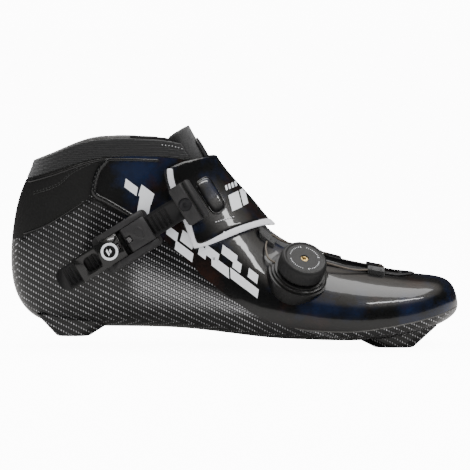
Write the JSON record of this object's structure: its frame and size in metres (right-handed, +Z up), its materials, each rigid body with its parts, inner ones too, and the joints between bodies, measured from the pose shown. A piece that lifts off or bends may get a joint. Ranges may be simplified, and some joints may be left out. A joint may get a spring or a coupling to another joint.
{
  "type": "speed skate boot",
  "caption": "Low-cut carbon speed skate boot with a cable dial over the instep, a ratchet ankle strap and bolt blocks for a blade or wheel frame.",
  "frame": {"origin": "mouth of the toe bolt hole, on the toe block's lower face", "axes": "+X towards the toe, +Y towards the other foot (inner side of this right boot), +Z up, square to both block faces"},
  "size_m": [0.2697, 0.0969, 0.1334],
  "materials": {
    "carbon": "clear-coated carbon twill",
    "gloss_upper": "patent synthetic leather",
    "matte_upper": "matte microfibre",
    "collar_knit": "ribbed neoprene knit",
    "gloss_trim": "stitched gloss trim",
    "lining_fabric": "brushed lining",
    "footbed_fabric": "fabric-topped foam",
    "tongue_fabric": "padded synthetic",
    "eyestay": "matte reinforcement",
    "white_piping": "satin",
    "webbing": "woven",
    "cable": "coated wire rope",
    "dial_rubber": "matte moulded",
    "dial_plastic": "matte moulded",
    "buckle_plastic": "fine moulded texture",
    "ladder_plastic": "smooth moulded",
    "gloss_lever": "polished",
    "badge_white": "printed ring",
    "steel": "plain",
    "black_steel": "black oxide",
    "brass_screw": "satin"
  },
  "bodies": {
    "root": {"carbon_shell": "carbon", "toe_insert": "steel", "heel_insert": "steel", "footbed": "footbed_fabric", "quarter": "gloss_upper", "heel_panel": "matte_upper", "collar_band": "collar_knit", "seam_trim": "gloss_trim", "lining": "lining_fabric", "tongue": "tongue_fabric", "eyestay_trim": "eyestay", "instep_strap": "gloss_upper", "strap_piping": "white_piping", "strap_anchor_screw": "black_steel", "strap_anchor_nut": "steel", "dial_boss": "dial_rubber", "dial_housing": "dial_plastic", "dial_screw": "brass_screw", "dial_cable": "cable", "lace_guide_front": "webbing", "lace_guide_front_inner": "webbing", "lace_guide_middle_inner": "webbing", "lace_guide_rear": "webbing", "buckle_pad": "dial_rubber", "buckle_base": "buckle_plastic", "buckle_screw": "black_steel", "buckle_t_nut": "steel", "lever_pin": "steel", "pawl_pin": "steel", "lever_spring": "steel", "pawl_spring": "steel"},
    "tongue_tip": {"tongue_flap": "tongue_fabric"},
    "dial_clutch": {"dial_clutch_ring": "dial_plastic"},
    "dial_knob": {"dial_grip": "dial_rubber", "dial_cap": "dial_plastic"},
    "spool": {"dial_spool": "dial_plastic"},
    "lever": {"buckle_lever": "gloss_lever", "lever_badge": "badge_white"},
    "pawl": {"release_pawl": "buckle_plastic"},
    "ladder": {"ladder_strap": "ladder_plastic", "ladder_holder": "buckle_plastic", "ladder_screw": "black_steel"}
  },
  "joints": [
    {"name": "tongue_bend", "type": "hinge", "parent": "root", "child": "tongue_tip", "pos_m": [-0.113, 0, 0.1122], "axis": [0, 1, 0], "range_deg": [-6, 22], "stiffness_Nm_per_rad": 0.05},
    {"name": "dial_lift", "type": "slide", "parent": "root", "child": "dial_clutch", "axis": [0.2494, -0.6384, 0.7282], "range_m": [0, 0.003]},
    {"name": "knob_turn", "type": "hinge", "parent": "dial_clutch", "child": "dial_knob", "pos_m": [-0.05955, -0.03406, 0.04493], "axis": [0.2494, -0.6384, 0.7282], "continuous": true},
    {"name": "spool_turn", "type": "hinge", "parent": "root", "child": "spool", "pos_m": [-0.05955, -0.03406, 0.04493], "axis": [0.2494, -0.6384, 0.7282], "continuous": true},
    {"name": "lever_open", "type": "hinge", "parent": "root", "child": "lever", "pos_m": [-0.16655, -0.04423, 0.06238], "axis": [-0.5286, 0.0711, 0.8459], "range_deg": [0, 80], "stiffness_Nm_per_rad": 0.02},
    {"name": "pawl_release", "type": "hinge", "parent": "root", "child": "pawl", "pos_m": [-0.15976, -0.04403, 0.06661], "axis": [0.5286, -0.0711, -0.8459], "range_deg": [0, 25], "stiffness_Nm_per_rad": 0.02},
    {"name": "ladder_slide", "type": "slide", "parent": "root", "child": "ladder", "axis": [0.848, -0.0003, 0.5299], "range_m": [-0.009, 0.024]}
  ],
  "couplings": [
    {"joint": "spool_turn", "follows": "knob_turn", "ratio": 1}
  ]
}
